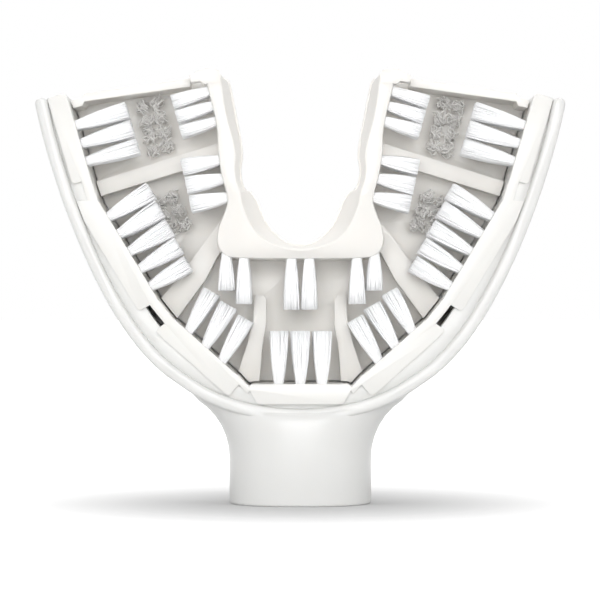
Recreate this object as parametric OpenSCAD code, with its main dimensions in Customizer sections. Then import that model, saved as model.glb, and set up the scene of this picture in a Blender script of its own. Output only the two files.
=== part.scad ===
// U-shaped toothbrush head: a tray that takes a whole arch of teeth, with bristles on three sides.
// It stands on its neck. X runs across the arch, Y from the open front to the back, Z up.
// The origin is the middle of the neck's foot, on the axis of the drive bore.

/* [Arch] */
// Width between the shell's inner faces at the arm ends
arch_w = 63.4; // [61:0.1:67]
// Height from the lowest point of the shell's inner face to the arm ends
arch_h = 39; // [38:0.1:42]

/* [Shell] */
// Depth of the tray from its front rim to its back
tray_d = 13; // [12.4:0.1:14]
// Thickness of the shell's outer wall
shell_t = 1.6; // [1.3:0.05:1.8]
// Thickness of the shell's back
back_t = 1.6; // [1.2:0.1:2]
// Radius of the front rim's edges
rim_r = 0.45; // [0.2:0.05:0.55]
// Radius of the edge round the back
back_r = 1.3; // [0.8:0.1:1.5]
// Width of the drain windows behind the first hinges
window_w = 2.2; // [1.6:0.1:2.4]
// Length of the drain windows
window_l = 3.2; // [2.4:0.1:4]

/* [Neck] */
// Width of the neck
neck_w = 18.06; // [17:0.1:19]
// Depth of the neck, front to back
neck_d = 14.8; // [14:0.1:15.6]
// Height from the foot to the lowest point of the shell's inner face
neck_h = 12.2; // [11.8:0.1:14]
// Radius of the flare that carries the shell
flare_r = 8.8; // [7.5:0.1:9.5]
// Thickness of the wall round the handle pocket
neck_wall = 1.8; // [1.4:0.1:2.2]
// Depth of the handle pocket
pocket_h = 6; // [5:0.1:6.4]
// Radius of the edge round the foot
foot_r = 0.4; // [0.2:0.05:0.6]

/* [Drive socket] */
// Diameter of the bore that takes the handle's drive pin
drive_d = 4; // [3:0.1:4.6]
// Outer diameter of the bush
bush_d = 7; // [6:0.1:8]
// Diameter of the bush's flange
flange_d = 9; // [8.4:0.1:9.6]
// Thickness of the bush's flange
flange_t = 1; // [0.6:0.1:1.4]
// Length of the bush above its flange
bush_l = 4.2; // [3:0.1:4.4]

/* [Cheek strip] */
// Thickness of the two back plates
back_plate_t = 2.4; // [2:0.1:2.5]
// Thickness of the two side plates
side_plate_t = 2.8; // [2.4:0.1:2.9]
// Thickness of the two corner plates
corner_plate_t = 2.7; // [2.4:0.1:2.8]
// Thickness of the front plate
front_plate_t = 2.5; // [2.2:0.05:2.5]
// Thickness of the hinge webs beside the side plates
web_t = 1.2; // [0.8:0.1:1.4]
// Thickness of the hinge webs beside the front plate
front_web_t = 0.7; // [0.5:0.05:0.9]
// Radius of the plates' corners
plate_r = 0.5; // [0.2:0.05:0.6]
// Smallest gap between the strip and the shell's wall
strip_gap = 0.1; // [0.05:0.05:0.2]

/* [Inner tray] */
// Thickness of the inner tray's floor
floor_t = 1.2; // [0.9:0.1:1.4]
// Height of the ribs above the floor
rib_h = 3.8; // [3:0.1:4]
// Height of the end walls above the floor
end_wall_h = 7; // [5:0.1:8]
// Thickness of the end walls
end_wall_t = 1; // [0.8:0.05:1.2]
// Lean of the tongue wall's face over its whole height
wall_draft = 0.35; // [0.2:0.05:0.5]
// Radius of the tongue wall's front edges
crest_r = 0.35; // [0.2:0.05:0.45]
// Gap between the inner tray and the cheek strip
tray_gap = 0.2; // [0.1:0.05:0.3]

/* [Bristle tufts] */
// Diameter of a tuft where it leaves its plate
tuft_d = 1.2; // [1:0.05:1.3]
// Distance between the two rows of tufts, front to back
row_pitch = 2.55; // [2.4:0.05:2.7]
// Distance from the front rim to the middle of the first row
row_inset = 2; // [1.8:0.05:2.2]
// Gap left between the tips of neighbouring tufts
tip_gap = 0.12; // [0.08:0.02:0.3]
// Depth of the tuft seats in the cheek strip
cheek_seat = 1.4; // [1:0.1:1.6]
// Depth of the tuft seats in the tongue wall
tongue_seat = 0.9; // [0.6:0.1:1]
// Height of the chewing tufts above the floor
chewing_h = 3.6; // [3:0.1:3.8]
// Diameter of a chewing tuft at the floor
chewing_d = 1; // [0.8:0.05:1.1]
// Distance between chewing tufts
chewing_pitch = 1.9; // [1.8:0.05:2.1]
// Depth of the chewing tufts' seats in the floor
chewing_seat = 0.7; // [0.5:0.1:0.8]

/* [Hidden] */

// Depths: the rims and tufts look towards -Y.
front_y = -tray_d / 2;
back_y = tray_d / 2;
seat_y = back_y - back_t;
floor_y = seat_y - floor_t;
rib_y = floor_y - rib_h;
overlap = 0.3;
seat_slack = 0.05;

// The arch is drawn in millimetres at the width, height and base below, and stretched from there.
drawn_w = 63.4;
drawn_h = 39;
drawn_base = 12.2;
function arch(p) = [p[0] * arch_w / drawn_w, neck_h + (p[1] - drawn_base) * arch_h / drawn_h];
function arched(points) = [for (p = points) arch(p)];

// Plane geometry.
function mix(a, b, t) = a + (b - a) * t;
function unit(v) = v / norm(v);
function turned(v) = [-v[1], v[0]];
function flipped(points) = [for (i = [len(points) - 1 : -1 : 0]) [-points[i][0], points[i][1]]];
function bezier(p, n) = [
    for (i = [0 : n])
        let (t = i / n, s = 1 - t)
            s * s * s * p[0] + 3 * s * s * t * p[1] + 3 * s * t * t * p[2] + t * t * t * p[3]
];
function curve_at(p, i, t) =
    let (a = p[max(i - 1, 0)], b = p[i], c = p[i + 1], d = p[min(i + 2, len(p) - 1)])
        0.5 * (2 * b + (c - a) * t + (2 * a - 5 * b + 4 * c - d) * t * t
            + (3 * b - a - 3 * c + d) * t * t * t);
function smooth(p, n) = concat(
    [for (i = [0 : len(p) - 2]) for (k = [0 : n - 1]) curve_at(p, i, k / n)],
    [p[len(p) - 1]]
);
function lengths(p, i = 0, sum = 0) =
    i >= len(p) - 1 ? [sum] : concat([sum], lengths(p, i + 1, sum + norm(p[i + 1] - p[i])));
function point_at(p, marks, s) =
    let (
        d = min(max(s, 0), 1) * marks[len(marks) - 1],
        i = max([for (k = [0 : len(p) - 2]) if (marks[k] <= d) k])
    )
        mix(p[i], p[i + 1], (d - marks[i]) / (marks[i + 1] - marks[i]));
function tangent_at(p, marks, s) =
    unit(point_at(p, marks, s + 0.01) - point_at(p, marks, s - 0.01));

// A solid between plane sections that all have the same number of points.
module loft(sections) {
    n = len(sections[0]);
    last = len(sections) - 1;
    polyhedron(
        points = [for (s = sections) for (p = s) p],
        faces = concat(
            [[for (i = [0 : n - 1]) i]],
            [
                for (k = [0 : last - 1]) for (i = [0 : n - 1])
                    let (a = k * n + i, b = k * n + (i + 1) % n)
                        each [[a, a + n, b + n], [a, b + n, b]]
            ],
            [[for (i = [n - 1 : -1 : 0]) last * n + i]]
        ),
        convexity = 10
    );
}

// Draws a flat shape in the XZ plane and makes it a solid from depth y0 to depth y1.
module across(y0, y1) {
    translate([0, y1, 0])
        rotate([90, 0, 0])
            linear_extrude(y1 - y0, convexity = 10)
                children();
}

module both_sides() {
    children();
    mirror([1, 0, 0])
        children();
}

// Tongue wall: rows from the arm's end to the middle of the arch, right side.
// Each row is [front edge towards the teeth, front edge towards the tongue, foot towards the tongue,
// drop of the teeth-side edge behind the rim].
arm_rows = [
    [[11.9, 54.3], [10.2, 54.4], [9.7, 54.5], 0.1],
    [[11.7, 53.0], [9.8, 53.3], [9.1, 53.9], 0.1],
    [[11.3, 51.3], [9.5, 50.9], [8.6, 51.7], 0.1],
    [[10.8, 49.3], [9.0, 48.3], [8.1, 49.1], 0.1],
    [[10.4, 47.0], [8.4, 46.1], [7.6, 46.6], 0.1],
    [[10.3, 44.6], [8.0, 44.1], [7.4, 44.4], 0.1],
    [[10.1, 42.9], [8.1, 42.4], [7.65, 42.6], 0.1],
    [[9.75, 41.2], [7.95, 40.9], [7.45, 41.1], 0.15],
    [[9.5, 40.2], [7.6, 39.9], [7.1, 40.1], 0.2]
];
saddle_rows = [
    [[9.4, 39.9], [7.4, 39.4], [6.3, 39.8], 0.2],
    [[9.1, 38.3], [7.2, 38.0], [5.4, 38.6], 0.4],
    [[9.6, 36.6], [6.8, 36.9], [4.9, 37.3], 0.7],
    [[10.3, 34.8], [6.2, 35.5], [4.3, 36.0], 1],
    [[10.4, 32.8], [5.4, 34.3], [3.6, 35.0], 1.1],
    [[9.3, 31.4], [4.3, 33.4], [2.7, 34.1], 1.1],
    [[6.8, 31.1], [3.0, 32.8], [1.9, 33.5], 1],
    [[3.6, 31.05], [1.5, 32.4], [0.95, 33.1], 0.9],
    [[0, 31.05], [0, 32.3], [0, 33.0], 0.9]
];
row_steps = 4;
function column(rows, i) = smooth(arched([for (r = rows) r[i]]), row_steps);
function drops(rows) = smooth([for (r = rows) [r[3], 0]], row_steps);
teeth_edge = concat(column(arm_rows, 0), column(saddle_rows, 0));
crest_edge = concat(column(arm_rows, 1), column(saddle_rows, 1));
foot_edge = concat(column(arm_rows, 2), column(saddle_rows, 2));
edge_drop = [for (d = concat(drops(arm_rows), drops(saddle_rows))) d[0]];
foot_lip = 0.2;
foot_sink = 0.4;
function wall_section(i, side) =
    let (
        a = teeth_edge[i],
        c = crest_edge[i],
        across_top = unit(c - a),
        foot = foot_edge[i] + unit(a - foot_edge[i]) * foot_lip,
        y = front_y + edge_drop[i],
        half = crest_r * 0.3,
        profile = [
            [a - across_top * wall_draft, floor_y + foot_sink],
            [a, y + crest_r],
            [a + across_top * half, y + half],
            [a + across_top * crest_r, y],
            [c - across_top * crest_r, front_y],
            [c - across_top * half, front_y + half],
            [c, front_y + crest_r],
            [foot, floor_y + foot_sink]
        ]
    )
        [for (q = profile) [side * q[0][0], q[1], q[0][1]]];
wall_sections = concat(
    [for (i = [0 : len(crest_edge) - 1]) wall_section(i, 1)],
    [for (i = [len(crest_edge) - 2 : -1 : 0]) wall_section(i, -1)]
);

// Shell: the inner edge of its wall and the tongue-side edge of its back, from the middle to an arm end.
wall_half = concat(
    bezier(arched([[0, 12.2], [9.35, 12.2], [14, 16.4], [14.1, 16.45]]), 12),
    [
        for (p = bezier(arched([[14.1, 16.45], [24.55, 22.3], [31.15, 46.85], [31.7, 51.2]]), 28))
            if (p[0] > arch([14.2, 0])[0]) p
    ]
);
wall_top = [arch_w / 2, neck_h + arch_h + 4];
wall_outline = concat(wall_half, [wall_top, [-wall_top[0], wall_top[1]]], flipped(wall_half));
edge_half = [for (i = [len(foot_edge) - 1 : -1 : 0]) foot_edge[i]];
wall_marks = lengths(wall_half);
edge_marks = lengths(edge_half);
wall_length = wall_marks[len(wall_marks) - 1];
half_stations = 34;
end_round = 0.6;
end_steps = [0.6, 0.3, 0.12, 0];
stations = concat(
    [for (i = [0 : half_stations]) i / half_stations * (1 - 1.2 / wall_length)],
    [for (d = end_steps) 1 - d / wall_length]
);
function end_inset(s) =
    let (d = max((1 - s) * wall_length, 0))
        d >= end_round ? 0 : end_round - sqrt(end_round * end_round - pow(end_round - d, 2));

// One section of the shell, in the plane from the wall to the tongue-side edge.
// Its points are [distance from the wall's inner face towards the tongue, depth].
function shell_profile(reach, wall, inset) =
    let (r = min(rim_r, (wall - 2 * inset) / 2 - 0.02))
        concat(
            [[-inset, seat_y]],
            [for (a = [0 : 30 : 90]) [-inset - r * (1 - cos(a)), front_y + r * (1 - sin(a))]],
            [for (a = [90 : -30 : 0]) [inset - wall + r * (1 - cos(a)), front_y + r * (1 - sin(a))]],
            [for (a = [0 : 22.5 : 90]) [inset - wall + back_r * (1 - cos(a)), back_y - back_r * (1 - sin(a))]],
            [for (a = [90 : -45 : 0]) [reach - inset - rim_r * (1 - cos(a)), back_y - rim_r * (1 - sin(a))]],
            [[reach - inset, seat_y]]
        );
function shell_section(s, side) =
    let (
        o = point_at(wall_half, wall_marks, s),
        l = point_at(edge_half, edge_marks, s),
        d = unit(l - o),
        n = turned(tangent_at(wall_half, wall_marks, s)),
        wall = shell_t / max(d * n, 0.5)
    )
        [
            for (q = shell_profile(norm(l - o), wall, end_inset(s)))
                [side * (o + d * q[0])[0], q[1], (o + d * q[0])[1]]
        ];
shell_sections = concat(
    [for (i = [len(stations) - 1 : -1 : 1]) shell_section(stations[i], -1)],
    [for (s = stations) shell_section(s, 1)]
);

// Drain windows: on the wall's inner face, this far along from the middle to an arm end.
window_s = 0.79;
window_r = 0.6;
module windows() {
    p = point_at(wall_half, wall_marks, window_s);
    t = tangent_at(wall_half, wall_marks, window_s);
    both_sides()
        across(seat_y - 1, back_y + 1)
            translate(p + turned(t) * (window_w / 2 + 0.1))
                rotate(atan2(t[1], t[0]) - 90)
                    offset(r = window_r, $fn = 24)
                        square([window_w - 2 * window_r, window_l - 2 * window_r], center = true);
}

// Neck: rounded ovals, straight up from the foot, then flaring out into the shell's wall.
oval_power = 2.3;
oval_steps = 48;
function bent(v) = sign(v) * pow(abs(v), 2 / oval_power);
function oval(w, d) = [
    for (i = [0 : oval_steps - 1])
        let (a = 360 * i / oval_steps)
            [w / 2 * bent(cos(a)), d / 2 * bent(sin(a))]
];
// Each ring is [width, depth, height in the middle, height at the sides].
flare_z = neck_h - 6.5;
shoulder_z = neck_h - 0.7;
foot_rings = [
    for (a = [0 : 30 : 90])
        let (inset = 2 * foot_r * (1 - sin(a)), z = foot_r * (1 - cos(a)))
            [neck_w - inset, neck_d - inset, z, z]
];
flare_rings = [
    for (a = [0 : 9.5 : 57])
        let (t = a / 57, side_z = flare_z + flare_r * sin(a))
            [neck_w + 2 * flare_r * (1 - cos(a)), neck_d - 2.2 * pow(t, 5), mix(side_z, shoulder_z, t * t), side_z]
];
root_ring = [neck_w + 12.3, neck_d - 4, neck_h - 0.6, flare_z + 9.7];
neck_sections = [
    for (r = concat(foot_rings, flare_rings, [root_ring]))
        [for (p = oval(r[0], r[1])) [p[0], p[1], mix(r[2], r[3], pow(2 * p[0] / r[0], 2))]]
];

// Cheek strip: corners of its plates, right side. The skews slide an outer corner along the plate.
function plate(a, b, t, skew_a = 0, skew_b = 0) =
    let (d = unit(b - a), n = turned(d))
        [a, b, b + n * t + d * skew_b, a + n * t + d * skew_a];
back_a = arch([29.35, 51.75]);
back_b = arch([26.2, 41]);
side_a = arch([25.35, 38.35]);
side_b = arch([17.8, 25.85]);
corner_a = arch([16, 23.6]);
corner_b = arch([7.2, 15.8]);
front_a = arch([6.75, 15.3]);
front_b = arch([-6.75, 15.3]);
hinge_overlap = 0.9;
function hinge(a, b, t) =
    let (d = unit(b - a), n = turned(d))
        [a - d * hinge_overlap, b + d * hinge_overlap, b + d * hinge_overlap + n * t, a - d * hinge_overlap + n * t];
module both_flat() {
    children();
    mirror([1, 0])
        children();
}
module strip_outline() {
    intersection() {
        offset(delta = -strip_gap)
            polygon(wall_outline);
        offset(r = plate_r, $fn = 24)
            offset(delta = -plate_r) {
                both_flat() {
                    polygon(plate(back_a, back_b, back_plate_t));
                    polygon(plate(side_a, side_b, side_plate_t, -1.5));
                    polygon(plate(corner_a, corner_b, corner_plate_t, -0.6));
                }
                polygon(plate(front_a, front_b, front_plate_t, 1.4, -1.4));
            }
    }
    both_flat() {
        polygon(hinge(back_b, side_a, web_t));
        polygon(hinge(side_b, corner_a, web_t));
        polygon(hinge(corner_b, front_a, front_web_t));
    }
}

// Bristle groups, right side: [first base, last base, direction, tufts, first length, last length].
function on_plate(a, b, from, to) = [a + unit(b - a) * from, a + unit(b - a) * to];
function facing(a, b) = let (n = turned(unit(b - a))) atan2(-n[1], -n[0]);
function group(bases, direction, count, first, last) = [bases[0], bases[1], direction, count, first, last];
cheek_back = group(on_plate(back_a, back_b, 4.1, 8.8), facing(back_a, back_b), 3, 6.7, 6.7);
cheek_side = group(on_plate(side_a, side_b, 2.4, 12.6), facing(side_a, side_b), 5, 6.3, 5.5);
cheek_corner = group(on_plate(corner_a, corner_b, 2.6, 8.2), facing(corner_a, corner_b) - 12, 3, 5.8, 6.1);
cheek_front = group(on_plate(front_a, front_b, 4.03, 9.47), 90, 3, 6.65, 6.65);
tongue_back = group(arched([[11.25, 52.2], [10.5, 48.4]]), -17, 3, 5.1, 4.8);
tongue_side = group(arched([[10.0, 43.5], [8.95, 38.8]]), -11, 3, 5, 5);
tongue_corner = group(arched([[9.35, 31.5], [7.1, 31.3]]), -90, 2, 4.5, 6);
tongue_front = group(arched([[1.12, 31.2], [-1.12, 31.2]]), -90, 2, 6.6, 6.6);
tuft_rows = [for (i = [0 : 1]) front_y + row_inset + i * row_pitch];
function pitch(g) = norm(g[1] - g[0]) / (g[3] - 1);
module along_group(g) {
    for (y = tuft_rows)
        for (i = [0 : g[3] - 1]) {
            t = i / (g[3] - 1);
            p = mix(g[0], g[1], t);
            translate([p[0], y, p[1]])
                rotate([0, 90 - g[2], 0])
                    let ($length = mix(g[4], g[5], t))
                        children();
        }
}
module seats(g, depth) {
    along_group(g)
        translate([0, 0, -depth])
            cylinder(d = tuft_d + 2 * seat_slack, h = depth + 2, $fn = 16);
}
module tufts(g, depth) {
    tip_d = min(pitch(g), row_pitch) - tip_gap;
    color("white")
        along_group(g) {
            translate([0, 0, -depth])
                cylinder(d = tuft_d, h = depth, $fn = 16);
            cylinder(d1 = tuft_d, d2 = tip_d, h = $length, $fn = 16);
        }
}

// Chewing tufts, right side: [middle of the group, direction of the arm, tufts along the arm].
chewing_back = [arch([18.6, 48.0]), 75, 4];
chewing_side = [arch([16.5, 36.9]), 66, 3];
module along_chewing(g) {
    for (i = [0 : g[2] - 1])
        for (side = [-0.5, 0.5])
            translate([g[0][0], floor_y, g[0][1]])
                rotate([90, 0, 0])
                    rotate(g[1])
                        translate([(i - (g[2] - 1) / 2) * chewing_pitch, side * chewing_pitch, 0])
                            children();
}
module chewing_seats(g) {
    along_chewing(g)
        translate([0, 0, -chewing_seat])
            cylinder(d = chewing_d + 2 * seat_slack, h = chewing_seat + 1, $fn = 16);
}
module chewing_tufts(g) {
    color("white")
        along_chewing(g) {
            translate([0, 0, -chewing_seat])
                cylinder(d = chewing_d, h = chewing_seat, $fn = 16);
            cylinder(d1 = chewing_d, d2 = chewing_pitch - tip_gap, h = chewing_h, $fn = 16);
        }
}

// Inner tray: its floor, end walls, ears and ribs in the XZ plane, right side.
end_line = arched([[29.0, 51.0], [27.5, 51.35], [27.3, 51.9], [13.9, 53.8]]);
floor_half = concat(
    [front_a, corner_b, corner_a, side_b, side_a, back_b],
    end_line,
    [for (i = [0 : len(foot_edge) - 2]) foot_edge[i]]
);
rib_back = arched([[26.4, 40.8], [10.2, 45.9], [9.6, 44.0], [26, 38.9]]);
rib_side = arched([[17.9, 25.8], [14.0, 30.7], [10.4, 35.6], [9.8, 34.2], [10, 32.4], [12.1, 28.4], [15.7, 23.5]]);
rib_corner = arched([[5.9, 25.9], [5.6, 26.4], [4.7, 26.4], [4.35, 25.9], [4.36, 22.7], [4.87, 19.5], [5.25, 15.1],
    [8, 15.8], [7.9, 16.7], [6.8, 20.1], [6.0, 23.3]]);
ear = arched([[13.9, 53.85], [13.2, 54.3], [12.2, 54.75], [10.9, 54.85], [10.2, 54.5], [9.9, 53.9], [10.2, 53],
    [12.1, 52.9], [12.5, 53.25], [13.7, 53.1]]);
module tray_outline() {
    difference() {
        polygon(concat(floor_half, flipped(floor_half)));
        offset(delta = tray_gap)
            strip_outline();
    }
}
module ribs() {
    intersection() {
        tray_outline();
        both_flat() {
            polygon(rib_back);
            polygon(rib_side);
            polygon(rib_corner);
        }
    }
}
module end_walls() {
    intersection() {
        tray_outline();
        both_flat()
            polygon(concat(end_line, [for (i = [3 : -1 : 0]) end_line[i] - [0, end_wall_t]]));
    }
}

module frame() {
    color("whitesmoke")
        difference() {
            union() {
                loft(shell_sections);
                loft(neck_sections);
            }
            translate([0, 0, -1])
                linear_extrude(pocket_h + 1)
                    polygon(oval(neck_w - 2 * neck_wall, neck_d - 2 * neck_wall));
            cylinder(d = bush_d + 2 * seat_slack, h = pocket_h + bush_l, $fn = 64);
            windows();
        }
}
module drive_socket() {
    color("gainsboro")
        difference() {
            translate([0, 0, pocket_h - flange_t]) {
                cylinder(d = flange_d, h = flange_t, $fn = 64);
                cylinder(d = bush_d, h = flange_t + bush_l, $fn = 64);
            }
            translate([0, 0, pocket_h - flange_t - 1])
                cylinder(d = drive_d, h = flange_t + bush_l + 2, $fn = 64);
        }
}
module cheek_strip() {
    color("white")
        difference() {
            across(front_y + 0.1, seat_y)
                strip_outline();
            both_sides() {
                seats(cheek_back, cheek_seat);
                seats(cheek_side, cheek_seat);
                seats(cheek_corner, cheek_seat);
            }
            seats(cheek_front, cheek_seat);
        }
}
module inner_tray() {
    color("ivory")
        difference() {
            union() {
                across(floor_y, seat_y)
                    tray_outline();
                across(rib_y, floor_y + overlap)
                    ribs();
                across(floor_y - end_wall_h, floor_y + overlap)
                    end_walls();
                both_sides()
                    across(front_y, front_y + 3)
                        polygon(ear);
                loft(wall_sections);
            }
            both_sides() {
                seats(tongue_back, tongue_seat);
                seats(tongue_side, tongue_seat);
                seats(tongue_corner, tongue_seat);
                chewing_seats(chewing_back);
                chewing_seats(chewing_side);
            }
            seats(tongue_front, tongue_seat);
        }
}
module left() {
    mirror([1, 0, 0])
        children();
}

frame();
drive_socket();
cheek_strip();
inner_tray();
tufts(cheek_front, cheek_seat);  // cheek_tufts_front
left() tufts(cheek_corner, cheek_seat);  // cheek_tufts_corner_left
tufts(cheek_corner, cheek_seat);  // cheek_tufts_corner_right
left() tufts(cheek_side, cheek_seat);  // cheek_tufts_side_left
tufts(cheek_side, cheek_seat);  // cheek_tufts_side_right
left() tufts(cheek_back, cheek_seat);  // cheek_tufts_back_left
tufts(cheek_back, cheek_seat);  // cheek_tufts_back_right
tufts(tongue_front, tongue_seat);  // tongue_tufts_front
left() tufts(tongue_corner, tongue_seat);  // tongue_tufts_corner_left
tufts(tongue_corner, tongue_seat);  // tongue_tufts_corner_right
left() tufts(tongue_side, tongue_seat);  // tongue_tufts_side_left
tufts(tongue_side, tongue_seat);  // tongue_tufts_side_right
left() tufts(tongue_back, tongue_seat);  // tongue_tufts_back_left
tufts(tongue_back, tongue_seat);  // tongue_tufts_back_right
left() chewing_tufts(chewing_side);  // chewing_tufts_side_left
chewing_tufts(chewing_side);  // chewing_tufts_side_right
left() chewing_tufts(chewing_back);  // chewing_tufts_back_left
chewing_tufts(chewing_back);  // chewing_tufts_back_right
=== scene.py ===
import math
import random

import bpy
import numpy as np
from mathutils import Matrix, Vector


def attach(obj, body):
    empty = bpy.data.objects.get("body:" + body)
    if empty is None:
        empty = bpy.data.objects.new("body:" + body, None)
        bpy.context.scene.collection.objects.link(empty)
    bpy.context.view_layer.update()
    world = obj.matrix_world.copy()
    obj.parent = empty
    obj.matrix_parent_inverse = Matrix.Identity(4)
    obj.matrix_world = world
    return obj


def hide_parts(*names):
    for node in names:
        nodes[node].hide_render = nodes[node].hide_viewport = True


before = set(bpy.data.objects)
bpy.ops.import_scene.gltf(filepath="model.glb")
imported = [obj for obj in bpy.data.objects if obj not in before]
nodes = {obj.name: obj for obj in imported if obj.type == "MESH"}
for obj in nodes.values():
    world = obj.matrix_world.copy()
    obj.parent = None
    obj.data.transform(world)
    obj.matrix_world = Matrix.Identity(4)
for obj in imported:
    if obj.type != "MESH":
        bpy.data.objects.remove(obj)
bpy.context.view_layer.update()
mm = 0.001
print("stage: frame loaded")


# Small helpers for the active object and its selection

def deselectAll():
    if bpy.context.object and bpy.context.object.mode != "OBJECT":
        bpy.ops.object.mode_set(mode="OBJECT")
    bpy.ops.object.select_all(action="DESELECT")


def pick(obj):
    deselectAll()
    obj.hide_viewport = False
    obj.select_set(True)
    bpy.context.view_layer.objects.active = obj
    return obj


def applyPlace(obj):
    pick(obj)
    bpy.ops.object.transform_apply(location=True, rotation=True, scale=True)


def applyModifiers(obj):
    pick(obj)
    for modifier in list(obj.modifiers):
        bpy.ops.object.modifier_apply(modifier=modifier.name)


def finishPiece(obj, material, slot, *replaced):
    obj.data.materials.clear()
    obj.data.materials.append(material)
    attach(obj, "root")
    if replaced:
        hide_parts(*replaced)
    return obj


# Materials

def hexColour(code):
    values = [int(code[i:i + 2], 16) / 255 for i in (0, 2, 4)]
    return [v / 12.92 if v <= 0.04045 else ((v + 0.055) / 1.055) ** 2.4 for v in values] + [1.0]


def addNode(tree, kind, settings=None, links=None):
    node = tree.nodes.new(kind)
    for name, value in (settings or {}).items():
        if name in node.inputs.keys():
            node.inputs[name].default_value = value
        else:
            setattr(node, name, value)
    for name, socket in (links or {}).items():
        tree.links.new(socket, node.inputs[name])
    return node


def newMaterial(name):
    material = bpy.data.materials.new(name)
    material.use_nodes = True
    material.node_tree.nodes.clear()
    return material, material.node_tree


def mouldedPlastic(name, look):
    material, tree = newMaterial(name)
    place = addNode(tree, "ShaderNodeTexCoord")
    flow = addNode(tree, "ShaderNodeTexNoise", {
        "Scale": 1000 / look["flowMm"], "Detail": 2.0, "Roughness": 0.5,
    }, {"Vector": place.outputs["Object"]})
    tint = addNode(tree, "ShaderNodeMix", {"data_type": "RGBA"}, {"Factor": flow.outputs["Fac"]})
    tint.inputs[6].default_value = hexColour(look["colour"])
    tint.inputs[7].default_value = hexColour(look["shade"])
    peel = addNode(tree, "ShaderNodeTexNoise", {
        "Scale": 1000 / look["peelMm"], "Detail": 2.0, "Roughness": 0.55,
    }, {"Vector": place.outputs["Object"]})
    gloss = addNode(tree, "ShaderNodeMapRange", {
        "To Min": look["roughness"][0], "To Max": look["roughness"][1],
    }, {"Value": peel.outputs["Fac"]})
    bump = addNode(tree, "ShaderNodeBump", {"Strength": look["bump"], "Distance": look["bumpMm"] * mm},
                   {"Height": peel.outputs["Fac"]})
    skin = addNode(tree, "ShaderNodeBsdfPrincipled", {
        "IOR": look["ior"],
        "Subsurface Weight": look["subsurface"],
        "Subsurface Radius": (1.0, 0.9, 0.8),
        "Subsurface Scale": look["depthMm"] * mm,
    }, {
        "Base Color": tint.outputs[2],
        "Roughness": gloss.outputs["Result"],
        "Normal": bump.outputs["Normal"],
    })
    addNode(tree, "ShaderNodeOutputMaterial", {}, {"Surface": skin.outputs["BSDF"]})
    return material


# Moulded polypropylene, satin from a stoned steel mould: a soft sheen with a faint orange peel
shellPlastic = mouldedPlastic("mouldedPolypropyleneShell", {
    "colour": "E4E4E2", "shade": "E0E0DE", "flowMm": 14, "peelMm": 1.1, "bump": 0.12, "bumpMm": 0.03,
    "roughness": (0.26, 0.36), "ior": 1.49, "subsurface": 0.12, "depthMm": 0.8,
})
# The same resin, unpigmented, so that its thin plates look a little warmer and milkier
stripPlastic = mouldedPlastic("milkyPolypropyleneStrip", {
    "colour": "ECEBE8", "shade": "E8E7E3", "flowMm": 9, "peelMm": 0.9, "bump": 0.12, "bumpMm": 0.03,
    "roughness": (0.3, 0.42), "ior": 1.49, "subsurface": 0.15, "depthMm": 1.0,
})
trayPlastic = mouldedPlastic("milkyPolypropyleneTray", {
    "colour": "F5F3EF", "shade": "F0EDE8", "flowMm": 10, "peelMm": 1.0, "bump": 0.12, "bumpMm": 0.03,
    "roughness": (0.3, 0.42), "ior": 1.49, "subsurface": 0.15, "depthMm": 1.0,
})
# Acetal, self-coloured and turned smooth: slightly greyer and waxy
socketPlastic = mouldedPlastic("mouldedAcetalSocket", {
    "colour": "E4E4E2", "shade": "DEDEDB", "flowMm": 6, "peelMm": 0.7, "bump": 0.1, "bumpMm": 0.02,
    "roughness": (0.35, 0.45), "ior": 1.48, "subsurface": 0.05, "depthMm": 0.5,
})


def filamentNylon(name, look):
    material, tree = newMaterial(name)
    place = addNode(tree, "ShaderNodeTexCoord")
    grain = addNode(tree, "ShaderNodeTexNoise", {"Scale": 1000 / look["grainMm"], "Detail": 1.0},
                    {"Vector": place.outputs["Object"]})
    tint = addNode(tree, "ShaderNodeMix", {"data_type": "RGBA"}, {"Factor": grain.outputs["Fac"]})
    tint.inputs[6].default_value = hexColour(look["colour"])
    tint.inputs[7].default_value = hexColour(look["shade"])
    skin = addNode(tree, "ShaderNodeBsdfPrincipled", {
        "IOR": look["ior"],
        "Roughness": look["roughness"],
    }, {"Base Color": tint.outputs[2]})
    addNode(tree, "ShaderNodeOutputMaterial", {}, {"Surface": skin.outputs["BSDF"]})
    return material


# Drawn nylon filaments, pigmented white: each is glossy, the bundle scatters to a cool white
bristleNylon = filamentNylon("drawnNylonBristle", {
    "colour": "FFFFFF", "shade": "FBFCFE", "grainMm": 0.5, "roughness": 0.35, "ior": 1.53,
})
# Crimped nylon with less pigment: glossier, and a little warmer than the straight filaments
crimpedNylon = filamentNylon("crimpedClearNylon", {
    "colour": "FFFEFC", "shade": "F8F6F3", "grainMm": 0.5, "roughness": 0.25, "ior": 1.53,
})
print("stage: materials made")


# Moulded pieces: a merged copy of each solid, its sharp edges broken as a mould leaves them

mouldedPieces = [
    {"node": "frame", "name": "shellAndNeck", "bevelMm": 0.12, "angle": 42, "material": shellPlastic,
     "slot": "shell_plastic"},
    {"node": "drive_socket", "name": "driveSocket", "bevelMm": 0.12, "angle": 35, "material": socketPlastic,
     "slot": "socket_plastic"},
    {"node": "cheek_strip", "name": "cheekStrip", "bevelMm": 0.14, "angle": 30, "material": stripPlastic,
     "slot": "strip_plastic"},
    {"node": "inner_tray", "name": "innerTray", "bevelMm": 0.14, "angle": 36, "material": trayPlastic,
     "slot": "tray_plastic"},
]


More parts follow.
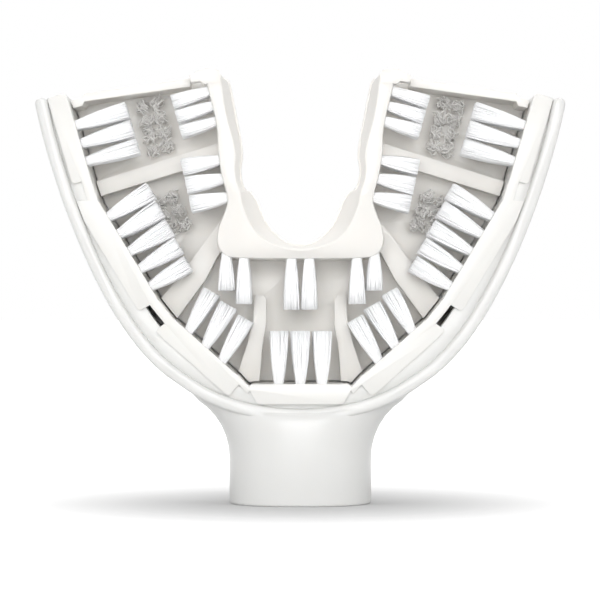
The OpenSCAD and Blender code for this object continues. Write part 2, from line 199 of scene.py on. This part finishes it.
def mouldedCopy(settings):
    pick(nodes[settings["node"]])
    bpy.ops.object.duplicate()
    piece = bpy.context.object
    piece.name = piece.data.name = settings["name"]
    for key in [k for k in piece.keys() if k.startswith("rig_")]:
        del piece[key]
    bpy.ops.object.mode_set(mode="EDIT")
    bpy.ops.mesh.select_all(action="SELECT")
    bpy.ops.mesh.remove_doubles(threshold=0.002 * mm)
    bpy.ops.mesh.dissolve_limited(angle_limit=math.radians(0.6))
    bpy.ops.object.mode_set(mode="OBJECT")
    edge = piece.modifiers.new("brokenEdges", "BEVEL")
    edge.width = settings["bevelMm"] * mm
    edge.segments = 2
    edge.limit_method = "ANGLE"
    edge.angle_limit = math.radians(settings["angle"])
    edge.miter_outer = "MITER_ARC"
    applyModifiers(piece)
    pick(piece)
    bpy.ops.object.shade_smooth_by_angle(angle=math.radians(settings["angle"]))
    return finishPiece(piece, settings["material"], settings["slot"], settings["node"])


for settings in mouldedPieces:
    piece = mouldedCopy(settings)
    print("stage:", piece.name, len(piece.data.polygons), "faces")


# Ledge along the foot of the rim, in the groove between the wall and the plates.
# Its knots follow the wall's inner curve, from the middle to an arm's end: handle, point, handle.

ledge = {"depthsMm": (-5.4, -3.2), "widthMm": 2.3, "sunk": 0.9, "steps": 24,
         "bevelMm": 0.15, "bevelAngle": 50, "smoothAngle": 40,
         "knotsMm": (((-9.35, 12.2), (0.0, 12.2), (9.35, 12.2)),
                     ((14.0, 16.4), (14.1, 16.45), (24.55, 22.3)),
                     ((31.15, 46.85), (31.7, 51.2), (31.7, 51.6)))}


def modelLedge():
    knots = [[(-x, z) for x, z in knot[::-1]] for knot in ledge["knotsMm"][:0:-1]] + list(ledge["knotsMm"])
    deselectAll()
    bpy.ops.curve.primitive_bezier_curve_add(location=(0, 0, 0))
    rail = bpy.context.object
    rail.data.dimensions = "2D"
    rail.data.resolution_u = ledge["steps"]
    spline = rail.data.splines[0]
    spline.bezier_points.add(len(knots) - 2)
    for point, knot in zip(spline.bezier_points, knots):
        point.handle_left_type = point.handle_right_type = "FREE"
        point.handle_left, point.co, point.handle_right = [(x * mm, z * mm, 0) for x, z in knot]
    rail.data.fill_mode = "NONE"
    front, back = ledge["depthsMm"]
    rail.data.extrude = (back - front) / 2 * mm
    rail.location = (0, (front + back) / 2 * mm, 0)
    rail.rotation_euler = (math.radians(90), 0, 0)
    bpy.ops.object.convert(target="MESH")
    applyPlace(rail)
    wall = rail.modifiers.new("width", "SOLIDIFY")
    wall.thickness = ledge["widthMm"] * mm
    wall.offset = ledge["sunk"]
    edge = rail.modifiers.new("brokenEdges", "BEVEL")
    edge.width = ledge["bevelMm"] * mm
    edge.segments = 2
    edge.limit_method = "ANGLE"
    edge.angle_limit = math.radians(ledge["bevelAngle"])
    applyModifiers(rail)
    rail.name = rail.data.name = "wallLedge"
    pick(rail)
    bpy.ops.object.shade_smooth_by_angle(angle=math.radians(ledge["smoothAngle"]))
    print("stage:", rail.name, len(rail.data.polygons), "faces")
    return finishPiece(rail, shellPlastic, "shell_plastic")


modelLedge()


# Bristle tufts: one filament is modelled, and copies of it fill the place of each tuft's solid

filament = {"sides": 5, "radiusMm": 0.135, "rings": (0.15, 0.3, 0.5, 0.75)}
tuftLook = {"filaments": 96, "flare": 2.1, "startMm": -0.4, "lengthJitterMm": 0.09, "swayMm": 0.06}
crimp = {"sides": 4, "radiusMm": 0.08, "filaments": 9, "waves": (1.8, 4.2), "waveMm": 0.42, "rings": 19,
         "lengthJitterMm": 0.7}


def modelFilament(name, sides, rings):
    # A unit stem along Z, open in its seat, with its end rounded off
    deselectAll()
    bpy.ops.mesh.primitive_cylinder_add(vertices=sides, radius=1, depth=1, end_fill_type="NOTHING",
                                        location=(0, 0, 0.5))
    stem = bpy.context.object
    stem.name = stem.data.name = name
    applyPlace(stem)
    bpy.ops.object.mode_set(mode="EDIT")
    for height in rings:
        bpy.ops.mesh.select_all(action="SELECT")
        bpy.ops.mesh.bisect(plane_co=(0, 0, height), plane_no=(0, 0, 1))
    bpy.ops.mesh.select_all(action="DESELECT")
    bpy.ops.object.mode_set(mode="OBJECT")
    for edge in stem.data.edges:
        edge.select = all(stem.data.vertices[v].co.z > 0.999 for v in edge.vertices)
    bpy.ops.object.mode_set(mode="EDIT")
    bpy.ops.mesh.select_mode(type="EDGE")
    bpy.ops.mesh.extrude_region_move()
    bpy.ops.mesh.merge(type="CENTER")
    bpy.ops.object.mode_set(mode="OBJECT")
    shape = np.array([v.co for v in stem.data.vertices])
    centre = np.hypot(shape[:, 0], shape[:, 1]) < 0.01
    shape[centre, 2] = 1.0
    stem.data.vertices.foreach_set("co", shape.ravel())
    pick(stem)
    bpy.ops.object.shade_smooth()
    stem.hide_render = True
    return stem


def readTufts(nodeName):
    # Each tuft's solid gives its seat, base and tip: centre and radius of three rings
    pick(nodes[nodeName])
    bpy.ops.object.duplicate()
    copy = bpy.context.object
    bpy.ops.object.mode_set(mode="EDIT")
    bpy.ops.mesh.select_all(action="SELECT")
    bpy.ops.mesh.remove_doubles(threshold=0.002 * mm)
    bpy.ops.mesh.separate(type="LOOSE")
    bpy.ops.object.mode_set(mode="OBJECT")
    tufts = []
    for part in list(bpy.context.selected_objects):
        points = np.array([v.co for v in part.data.vertices])
        middle = points.mean(axis=0)
        axis = np.linalg.svd(points - middle)[2][0]
        along = (points - middle) @ axis
        ends = [points[along < along.min() + 0.05 * mm], points[along > along.max() - 0.05 * mm]]
        spans = [np.linalg.norm(e - e.mean(axis=0), axis=1).max() for e in ends]
        if spans[0] > spans[1]:
            axis, ends, spans = -axis, ends[::-1], spans[::-1]
        along = (points - middle) @ axis
        inner = points[(along > along.min() + 0.05 * mm) & (along < along.max() - 0.05 * mm)]
        low = inner[(inner - middle) @ axis < ((inner - middle) @ axis).min() + 0.05 * mm]
        tufts.append({"base": low.mean(axis=0), "tip": ends[1].mean(axis=0), "baseRadius": spans[0],
                      "tipRadius": spans[1]})
        bpy.data.meshes.remove(part.data)
    return sorted(tufts, key=lambda t: [round(t["base"][i], 5) for i in (2, 0, 1)])


goldenAngle = 2.39996
spotJitter = 0.03


def discPoints(count, rng):
    # Sunflower packing, slightly disturbed
    turn = rng.uniform(0, math.tau)
    points = []
    for i in range(count):
        radius = math.sqrt((i + 0.5) / count)
        angle = turn + i * goldenAngle
        across = radius * math.cos(angle) + rng.gauss(0, spotJitter)
        along = radius * math.sin(angle) + rng.gauss(0, spotJitter)
        points.append((across, along))
    return points


def copyStem(stem, shape, place):
    # shape is the stem's own points, place turns a height and an offset into a point of the tuft
    copy = bpy.data.objects.new("stem", stem.data.copy())
    bpy.context.scene.collection.objects.link(copy)
    copy.data.vertices.foreach_set("co", place(shape).ravel())
    return copy


def straightPlace(tuft, spot, rng):
    axis = tuft["tip"] - tuft["base"]
    length = np.linalg.norm(axis)
    axis = axis / length
    side = np.cross(axis, (0.0, 1.0, 0.0))
    side /= np.linalg.norm(side)
    up = np.cross(side, axis)
    radius = filament["radiusMm"] * mm
    start = tuftLook["startMm"] * mm
    end = length - abs(rng.gauss(0, tuftLook["lengthJitterMm"])) * mm
    sway = (rng.gauss(0, tuftLook["swayMm"]) * mm, rng.gauss(0, tuftLook["swayMm"]) * mm)

    def place(shape):
        height = start + shape[:, 2] * (end - start)
        t = np.clip(height / length, 0, 1)
        spread = (tuft["baseRadius"] - radius) + (tuft["tipRadius"] - tuft["baseRadius"]) * (
            1 - (1 - t) ** tuftLook["flare"])
        a = spot[0] * spread + sway[0] * t ** 2 + shape[:, 0] * radius
        b = spot[1] * spread + sway[1] * t ** 2 + shape[:, 1] * radius
        return tuft["base"] + np.outer(height, axis) + np.outer(a, side) + np.outer(b, up)

    return place


def crimpedPlace(tuft, spot, rng):
    axis = tuft["tip"] - tuft["base"]
    length = np.linalg.norm(axis)
    axis = axis / length
    side = np.cross(axis, (0.0, 0.0, 1.0))
    side /= np.linalg.norm(side)
    up = np.cross(side, axis)
    radius = crimp["radiusMm"] * mm
    start = tuftLook["startMm"] * mm
    end = length - abs(rng.gauss(0, crimp["lengthJitterMm"])) * mm
    waves = [rng.uniform(*crimp["waves"]) for i in range(2)]
    phases = [rng.uniform(0, math.tau) for i in range(2)]

    def place(shape):
        height = start + shape[:, 2] * (end - start)
        t = np.clip(height / length, 0, 1)
        spread = (tuft["baseRadius"] - radius) + (tuft["tipRadius"] - tuft["baseRadius"]) * t
        wave = crimp["waveMm"] * mm * np.minimum(t * 4, 1)
        a = spot[0] * spread + wave * np.sin(waves[0] * math.tau * t + phases[0])
        b = spot[1] * spread + wave * np.sin(waves[1] * math.tau * t + phases[1])
        a = a + shape[:, 0] * radius
        b = b + shape[:, 1] * radius
        return tuft["base"] + np.outer(height, axis) + np.outer(a, side) + np.outer(b, up)

    return place


straightStem = modelFilament("straightStem", filament["sides"], filament["rings"])
crimpedRings = [(i + 1) / (crimp["rings"] + 1) for i in range(crimp["rings"])]
crimpedStem = modelFilament("crimpedStem", crimp["sides"], crimpedRings)


def fillTufts(nodeName, pieceName, stem, count, placing, material, slot, seed):
    rng = random.Random(seed)
    shape = np.array([v.co for v in stem.data.vertices])
    copies = []
    for tuft in readTufts(nodeName):
        for spot in discPoints(count, rng):
            copies.append(copyStem(stem, shape, placing(tuft, spot, rng)))
    deselectAll()
    for copy in copies:
        copy.select_set(True)
    bpy.context.view_layer.objects.active = copies[0]
    bpy.ops.object.join()
    piece = bpy.context.object
    piece.name = piece.data.name = pieceName
    return finishPiece(piece, material, slot, nodeName)


tuftGroups = [
    "cheek_tufts_front", "cheek_tufts_corner_left", "cheek_tufts_corner_right",
    "cheek_tufts_side_left", "cheek_tufts_side_right", "cheek_tufts_back_left", "cheek_tufts_back_right",
    "tongue_tufts_front", "tongue_tufts_corner_left", "tongue_tufts_corner_right",
    "tongue_tufts_side_left", "tongue_tufts_side_right", "tongue_tufts_back_left", "tongue_tufts_back_right",
]
chewingGroups = ["chewing_tufts_side_left", "chewing_tufts_side_right", "chewing_tufts_back_left",
                 "chewing_tufts_back_right"]


def pieceNameOf(nodeName):
    words = nodeName.split("_")
    return words[0] + "".join(w.capitalize() for w in words[1:])


for number, nodeName in enumerate(tuftGroups):
    piece = fillTufts(nodeName, pieceNameOf(nodeName), straightStem, tuftLook["filaments"], straightPlace,
                      bristleNylon, "bristle", 100 + number)
    print("stage:", piece.name, len(piece.data.polygons), "faces")
for number, nodeName in enumerate(chewingGroups):
    piece = fillTufts(nodeName, pieceNameOf(nodeName), crimpedStem, crimp["filaments"], crimpedPlace,
                      crimpedNylon, "crimped_bristle", 200 + number)
    print("stage:", piece.name, len(piece.data.polygons), "faces")
for stem in (straightStem, crimpedStem):
    bpy.data.meshes.remove(stem.data)


# Camera: level with the middle of the tray, far enough off to keep the arms' depth small

cameraView = {"lensMm": 160.1, "distanceMm": 340, "heightMm": 25.84, "sideMm": -0.04}
cameraData = bpy.data.cameras.new("camera")
cameraData.lens = cameraView["lensMm"]
cameraData.sensor_width = 36
cameraData.clip_start = 0.01
cameraData.clip_end = 20
camera = bpy.data.objects.new("camera", cameraData)
camera.location = (cameraView["sideMm"] * mm, -cameraView["distanceMm"] * mm, cameraView["heightMm"] * mm)
camera.rotation_euler = (math.radians(90), 0, 0)
bpy.context.scene.collection.objects.link(camera)
bpy.context.scene.camera = camera


# Studio: a white table, white all round past a painted shadow (a grey disc round the object's foot where the
# table is left unlifted), and soft boxes left, right and above

studio = {
    # The table's grey colour shows only in the painted shadow near the foot, where the lamps' real shadows
    # fall too; further out the table is lifted to white
    "floorHalfM": 3.0, "floorColour": "DADADA", "worldLight": 0.32,
    "liftInPaintedShadow": 0.0, "liftFar": 1.05, "paintedShadowFromMm": 0, "paintedShadowToMm": 70,
    "lamps": [
        {"name": "frontBox", "place": (0.0, -0.8, 0.12), "size": (0.5, 0.36), "watts": 4.2},
        {"name": "leftStrip", "place": (-0.48, -0.37, 0.1), "size": (0.16, 0.4), "watts": 0.5},
        {"name": "rightStrip", "place": (0.48, -0.37, 0.1), "size": (0.16, 0.4), "watts": 0.5},
        {"name": "topBox", "place": (0.0, 0.2, 0.65), "size": (1.4, 1.2), "watts": 4.0},
    ],
}


def seenRays(tree):
    # 1 for what the camera sees, straight or in gloss or glass
    rays = addNode(tree, "ShaderNodeLightPath")
    seen = addNode(tree, "ShaderNodeMath", {"operation": "MAXIMUM"},
                   {0: rays.outputs["Is Camera Ray"], 1: rays.outputs["Is Glossy Ray"]})
    seen = addNode(tree, "ShaderNodeMath", {"operation": "MAXIMUM"},
                   {0: seen.outputs[0], 1: rays.outputs["Is Transmission Ray"]})
    return seen.outputs[0]


def buildFloor():
    deselectAll()
    bpy.ops.mesh.primitive_plane_add(size=2 * studio["floorHalfM"], location=(0, 0, 0))
    floor = bpy.context.object
    floor.name = "floor"
    material, tree = newMaterial("whiteTableWithPaintedShadow")
    matte = addNode(tree, "ShaderNodeBsdfDiffuse", {"Color": hexColour(studio["floorColour"])})
    seen = seenRays(tree)
    place = addNode(tree, "ShaderNodeTexCoord")
    reach = addNode(tree, "ShaderNodeVectorMath", {"operation": "LENGTH"},
                    {"Vector": place.outputs["Object"]})
    # Painted shadow: the lift is nil at the object's foot and rises with distance, so a grey disc round the
    # foot darkens the table on top of its real shadow
    paintedShadowRamp = addNode(tree, "ShaderNodeMapRange", {
        "interpolation_type": "SMOOTHSTEP",
        "From Min": studio["paintedShadowFromMm"] * mm, "From Max": studio["paintedShadowToMm"] * mm,
        "To Min": studio["liftInPaintedShadow"], "To Max": studio["liftFar"],
    }, {"Value": reach.outputs["Value"]})
    paintedShadowAndLift = addNode(tree, "ShaderNodeMath", {"operation": "MULTIPLY"}, {0: seen, 1: paintedShadowRamp.outputs["Result"]})
    glow = addNode(tree, "ShaderNodeEmission", {"Color": (1, 1, 1, 1)}, {"Strength": paintedShadowAndLift.outputs[0]})
    both = addNode(tree, "ShaderNodeAddShader", {}, {0: matte.outputs[0], 1: glow.outputs[0]})
    addNode(tree, "ShaderNodeOutputMaterial", {}, {"Surface": both.outputs[0]})
    floor.data.materials.append(material)


def buildWorld():
    world = bpy.data.worlds.new("whiteStudio")
    world.use_nodes = True
    tree = world.node_tree
    tree.nodes.clear()
    light = addNode(tree, "ShaderNodeBackground", {"Color": (1, 1, 1, 1), "Strength": studio["worldLight"]})
    white = addNode(tree, "ShaderNodeBackground", {"Color": (1, 1, 1, 1), "Strength": 1.0})
    both = addNode(tree, "ShaderNodeMixShader", {},
                   {0: seenRays(tree), 1: light.outputs[0], 2: white.outputs[0]})
    addNode(tree, "ShaderNodeOutputWorld", {}, {"Surface": both.outputs[0]})
    bpy.context.scene.world = world


def buildLamp(settings):
    data = bpy.data.lights.new(settings["name"], "AREA")
    data.shape = "RECTANGLE"
    data.size, data.size_y = settings["size"]
    data.energy = settings["watts"]
    lamp = bpy.data.objects.new(settings["name"], data)
    lamp.location = settings["place"]
    aim = Vector((0, 0, 0.03)) - Vector(settings["place"])
    lamp.rotation_euler = aim.to_track_quat("-Z", "Y").to_euler()
    bpy.context.scene.collection.objects.link(lamp)


buildFloor()
buildWorld()
for settings in studio["lamps"]:
    buildLamp(settings)
bpy.context.scene.view_settings.view_transform = "Standard"
print("stage: studio built")
